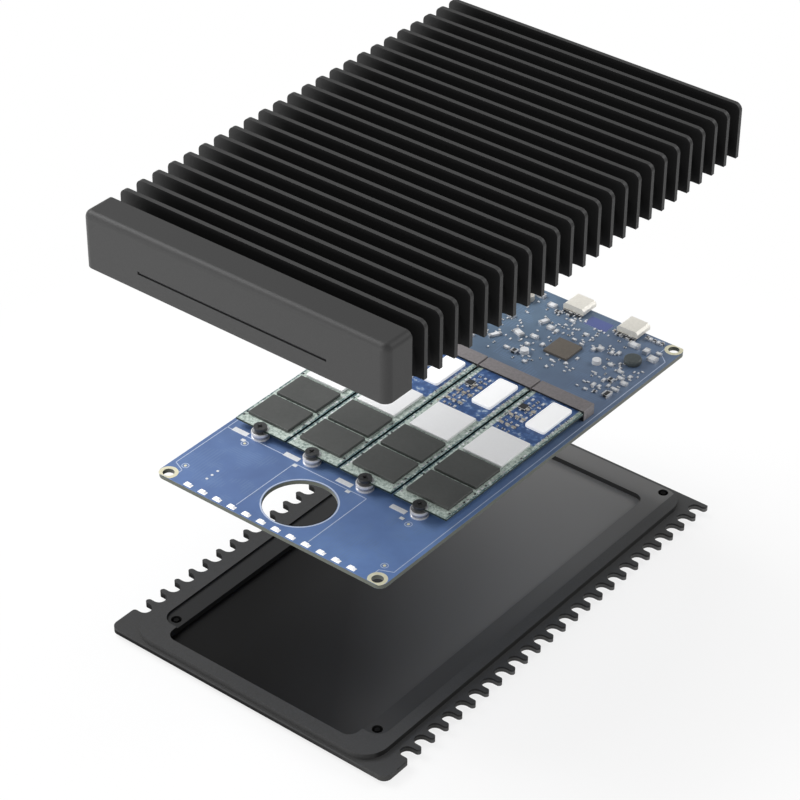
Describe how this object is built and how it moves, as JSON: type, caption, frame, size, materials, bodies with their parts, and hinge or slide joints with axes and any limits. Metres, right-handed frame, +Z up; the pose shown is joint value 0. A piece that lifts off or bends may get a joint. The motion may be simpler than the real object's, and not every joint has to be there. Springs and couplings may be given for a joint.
{
  "type": "finned portable drive enclosure with memory cards",
  "caption": "Finned aluminium drive case opened into housing, circuit board with memory cards, and base plate.",
  "frame": {"origin": "under the middle of the base, on the surface it stands on", "axes": "+X across the width along the fins, +Y from the solid front bar to the port end, +Z up"},
  "size_m": [0.122, 0.1874, 0.1709],
  "materials": {
    "base_metal": "dark anodised satin",
    "housing_metal": "dark anodised satin",
    "guide_plastic": "smoked gloss",
    "screw_metal": "black satin",
    "board_laminate": "blue mask, satin",
    "light_white": "white",
    "plated_metal": "bright plating",
    "coil_body": "matt",
    "capacitor_body": "satin",
    "bridge_package": "matt",
    "foot_rubber": "matt",
    "pad_rubber": "matt",
    "card_laminate": "pale green-grey mask",
    "socket_plastic": "matt",
    "memory_package": "matt",
    "controller_package": "satin lid",
    "cache_package": "white",
    "trim_parts": "mixed",
    "port_metal": "satin"
  },
  "bodies": {
    "base": {"base_plate": "base_metal", "case_screws": "screw_metal", "foot_1": "foot_rubber", "foot_2": "foot_rubber", "foot_3": "foot_rubber", "foot_4": "foot_rubber"},
    "board": {"board_capacitor": "capacitor_body", "bridge_chip": "bridge_package", "cache_chip_1": "cache_package", "cache_chip_2": "cache_package", "cache_chip_3": "cache_package", "cache_chip_4": "cache_package", "card_screws": "screw_metal", "card_socket_1": "socket_plastic", "card_socket_2": "socket_plastic", "card_socket_3": "socket_plastic", "card_socket_4": "socket_plastic", "card_standoffs": "plated_metal", "card_trim_1": "trim_parts", "card_trim_2": "trim_parts", "card_trim_3": "trim_parts", "card_trim_4": "trim_parts", "controller_1": "controller_package", "controller_2": "controller_package", "controller_3": "controller_package", "controller_4": "controller_package", "data_port_1": "port_metal", "data_port_2": "port_metal", "front_memory_1": "memory_package", "front_memory_2": "memory_package", "front_memory_3": "memory_package", "front_memory_4": "memory_package", "main_board": "board_laminate", "memory_card_1": "card_laminate", "memory_card_2": "card_laminate", "memory_card_3": "card_laminate", "memory_card_4": "card_laminate", "power_coil": "coil_body", "rear_memory_1": "memory_package", "rear_memory_2": "memory_package", "rear_memory_3": "memory_package", "rear_memory_4": "memory_package", "status_lights": "light_white"},
    "housing": {"heatsink_housing": "housing_metal", "light_guide": "guide_plastic", "thermal_pad_1": "pad_rubber", "thermal_pad_2": "pad_rubber", "thermal_pad_3": "pad_rubber", "thermal_pad_4": "pad_rubber"}
  },
  "joints": [
    {"name": "board_lift", "type": "slide", "parent": "base", "child": "board", "axis": [0, 0, 1], "range_m": [-0.0615, 0]},
    {"name": "housing_lift", "type": "slide", "parent": "board", "child": "housing", "axis": [0, 0, 1], "range_m": [-0.08526, 0]}
  ]
}
